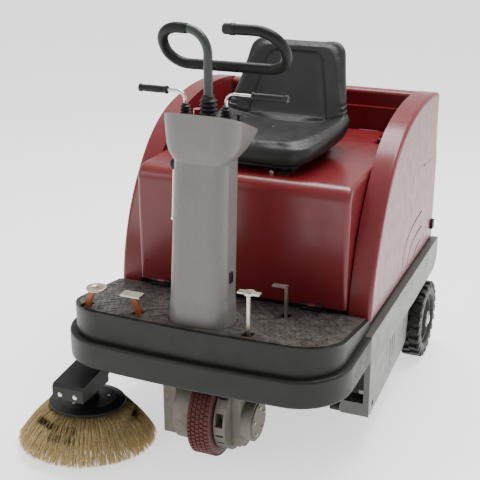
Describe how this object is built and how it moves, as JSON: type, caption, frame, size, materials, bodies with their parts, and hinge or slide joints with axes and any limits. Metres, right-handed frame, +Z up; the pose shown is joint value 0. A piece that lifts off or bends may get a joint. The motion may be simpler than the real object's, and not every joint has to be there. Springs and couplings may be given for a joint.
{
  "type": "ride-on sweeper",
  "caption": "Three-wheeled ride-on floor sweeper with a steered front drive wheel, side broom, foot deck, steering column, rear hood with pan seat and pull-out dust hopper.",
  "frame": {"origin": "centre of the bounding box on the floor", "axes": "+Z up, -Y towards the front of the machine, +X towards the driver's left"},
  "size_m": [1.0609, 1.3514, 1.31],
  "materials": {
    "red_body": "satin moulded polyethylene",
    "deck_black": "moulded, fine grain",
    "mat": "diamond tread",
    "skirt_grey": "moulded, fine grain",
    "column_grey": "satin",
    "dash_black": "matt",
    "boot_rubber": "soft",
    "frame_steel": "black paint",
    "cast_grey": "bare casting",
    "tyre_red": "polyurethane tread",
    "tyre_black": "rubber tread",
    "rim_grey": "satin paint",
    "bar_black": "vinyl sleeve",
    "bristle_tan": "stiff fibre",
    "bristle_dark": "stiff fibre",
    "disc_black": "moulded",
    "belt": "ribbed",
    "chrome_rod": "plated",
    "grip": "soft grip",
    "pedal_orange": "coated",
    "pedal_steel": "plated",
    "stop_red": "gloss",
    "battery_case": "moulded",
    "filter_paper": "pleated",
    "seat_vinyl": "vinyl over foam",
    "aluminium": "cast"
  },
  "bodies": {
    "chassis": {"chassis_frame": "frame_steel", "front_bumper": "deck_black", "deck_platform": "deck_black", "deck_mat": "mat", "side_skirt_left": "skirt_grey", "side_skirt_right": "skirt_grey", "side_cover_left": "red_body", "side_cover_right": "red_body", "rear_cover": "red_body", "steering_column": "column_grey", "dash_panel": "dash_black", "steering_boot": "boot_rubber", "lever_boot_left": "boot_rubber", "lever_boot_right": "boot_rubber", "column_socket": "dash_black", "battery_tray": "frame_steel", "batteries": "battery_case", "broom_chamber": "frame_steel", "dust_flaps": "boot_rubber", "vacuum_fan": "dash_black", "panel_filter": "filter_paper", "broom_motor": "frame_steel", "hood_hinges": "frame_steel"},
    "steering": {"steering_bar": "bar_black", "bar_cap": "boot_rubber", "drive_fork": "cast_grey", "gear_case": "cast_grey"},
    "drive_wheel": {"front_tyre": "tyre_red", "front_hub": "cast_grey"},
    "rear_wheel_left": {"rear_tyre_left": "tyre_black", "rear_rim_left": "rim_grey"},
    "rear_wheel_right": {"rear_tyre_right": "tyre_black", "rear_rim_right": "rim_grey"},
    "side_arm": {"side_arm": "deck_black", "side_broom_motor": "dash_black"},
    "side_broom": {"side_broom_disc": "disc_black", "side_broom_bristles": "bristle_tan"},
    "main_arm": {"main_broom_arms": "frame_steel", "drive_belt": "belt"},
    "main_broom": {"main_broom_core": "aluminium", "main_broom_bristles": "bristle_dark"},
    "motor_pulley": {"motor_pulley": "aluminium"},
    "lever_left": {"lever_left": "chrome_rod", "grip_left": "grip"},
    "lever_right": {"lever_right": "chrome_rod", "grip_right": "grip"},
    "pedal_broom": {"pedal_broom": "pedal_orange"},
    "pedal_flap": {"pedal_flap": "pedal_orange"},
    "pedal_drive": {"pedal_drive": "pedal_steel"},
    "pedal_brake": {"pedal_brake": "pedal_steel"},
    "brake_handle": {"brake_handle": "dash_black"},
    "stop_button": {"stop_button": "stop_red"},
    "ignition_key": {"ignition_key": "dash_black"},
    "hood": {"hood": "red_body", "seat_rails": "frame_steel"},
    "seat": {"seat_base": "frame_steel", "seat_cushion": "seat_vinyl", "seat_backrest": "seat_vinyl"},
    "filter_lid": {"filter_lid": "red_body"},
    "hopper": {"hopper": "deck_black"}
  },
  "joints": [
    {"name": "steering_turn", "type": "hinge", "parent": "chassis", "child": "steering", "pos_m": [0.07845, -0.38726, 0.3], "axis": [0, 0, 1], "range_deg": [-70, 70]},
    {"name": "drive_wheel_spin", "type": "hinge", "parent": "steering", "child": "drive_wheel", "pos_m": [0.07845, -0.35326, 0.1435], "axis": [1, 0, 0], "continuous": true},
    {"name": "rear_wheel_left_spin", "type": "hinge", "parent": "chassis", "child": "rear_wheel_left", "pos_m": [0.49445, 0.53074, 0.139], "axis": [1, 0, 0], "continuous": true},
    {"name": "rear_wheel_right_spin", "type": "hinge", "parent": "chassis", "child": "rear_wheel_right", "pos_m": [-0.33755, 0.53074, 0.139], "axis": [1, 0, 0], "continuous": true},
    {"name": "side_broom_lift", "type": "hinge", "parent": "chassis", "child": "side_arm", "pos_m": [-0.30655, -0.25926, 0.285], "axis": [-1, 0, 0], "range_deg": [0, 9]},
    {"name": "side_broom_spin", "type": "hinge", "parent": "side_arm", "child": "side_broom", "pos_m": [-0.31555, -0.46026, 0.0156], "axis": [0, 0.0698, 0.9976], "continuous": true},
    {"name": "main_broom_lift", "type": "hinge", "parent": "chassis", "child": "main_arm", "pos_m": [0.07845, -0.13426, 0.3], "axis": [1, 0, 0], "range_deg": [0, 8]},
    {"name": "main_broom_spin", "type": "hinge", "parent": "main_arm", "child": "main_broom", "pos_m": [0.07845, 0.08574, 0.128], "axis": [1, 0, 0], "continuous": true},
    {"name": "motor_pulley_spin", "type": "hinge", "parent": "chassis", "child": "motor_pulley", "pos_m": [-0.31155, -0.13426, 0.3], "axis": [1, 0, 0], "continuous": true},
    {"name": "lever_right_pull", "type": "hinge", "parent": "chassis", "child": "lever_right", "pos_m": [0.01245, -0.39426, 0.93], "axis": [-1, 0, 0], "range_deg": [0, 24], "deforming": ["lever_boot_right"]},
    {"name": "lever_left_pull", "type": "hinge", "parent": "chassis", "child": "lever_left", "pos_m": [0.13345, -0.39426, 0.93], "axis": [-1, 0, 0], "range_deg": [0, 24], "deforming": ["lever_boot_left"]},
    {"name": "pedal_broom_press", "type": "hinge", "parent": "chassis", "child": "pedal_broom", "pos_m": [-0.27355, -0.48226, 0.418], "axis": [1, 0, 0], "range_deg": [0, 9], "stiffness_Nm_per_rad": 4, "springref_deg": -2.86},
    {"name": "pedal_flap_press", "type": "hinge", "parent": "chassis", "child": "pedal_flap", "pos_m": [-0.10755, -0.48226, 0.418], "axis": [1, 0, 0], "range_deg": [0, 9], "stiffness_Nm_per_rad": 4, "springref_deg": -2.86},
    {"name": "pedal_drive_press", "type": "hinge", "parent": "chassis", "child": "pedal_drive", "pos_m": [0.24145, -0.49626, 0.418], "axis": [1, 0, 0], "range_deg": [0, 9], "stiffness_Nm_per_rad": 4, "springref_deg": -2.86},
    {"name": "pedal_brake_press", "type": "hinge", "parent": "chassis", "child": "pedal_brake", "pos_m": [0.27045, -0.27426, 0.418], "axis": [1, 0, 0], "range_deg": [0, 9], "stiffness_Nm_per_rad": 4, "springref_deg": -2.86},
    {"name": "brake_handle_swing", "type": "hinge", "parent": "chassis", "child": "brake_handle", "pos_m": [-0.03155, -0.39426, 0.915], "axis": [1, 0, 0], "range_deg": [0, 55]},
    {"name": "stop_button_press", "type": "slide", "parent": "chassis", "child": "stop_button", "axis": [0, 0, -1], "range_m": [0, 0.004], "stiffness_N_per_m": 600, "springref_m": -0.002},
    {"name": "ignition_key_turn", "type": "hinge", "parent": "chassis", "child": "ignition_key", "pos_m": [0.17045, -0.38826, 1.05], "axis": [0, 0, 1], "range_deg": [0, 60]},
    {"name": "hood_tilt", "type": "hinge", "parent": "chassis", "child": "hood", "pos_m": [0.07845, -0.18026, 0.452], "axis": [1, 0, 0], "range_deg": [0, 15]},
    {"name": "seat_slide", "type": "slide", "parent": "hood", "child": "seat", "axis": [0, 1, 0], "range_m": [-0.04, 0.04]},
    {"name": "filter_lid_open", "type": "hinge", "parent": "chassis", "child": "filter_lid", "pos_m": [0.07845, 0.56874, 0.807], "axis": [-1, 0, 0], "range_deg": [0, 75]},
    {"name": "hopper_pull", "type": "slide", "parent": "chassis", "child": "hopper", "axis": [0, 1, 0], "range_m": [0, 0.32]}
  ],
  "couplings": [
    {"joint": "side_broom_lift", "follows": "lever_right_pull", "ratio": 0.375},
    {"joint": "main_broom_lift", "follows": "lever_left_pull", "ratio": 0.33333},
    {"joint": "motor_pulley_spin", "follows": "main_broom_spin", "ratio": 2.3077}
  ]
}
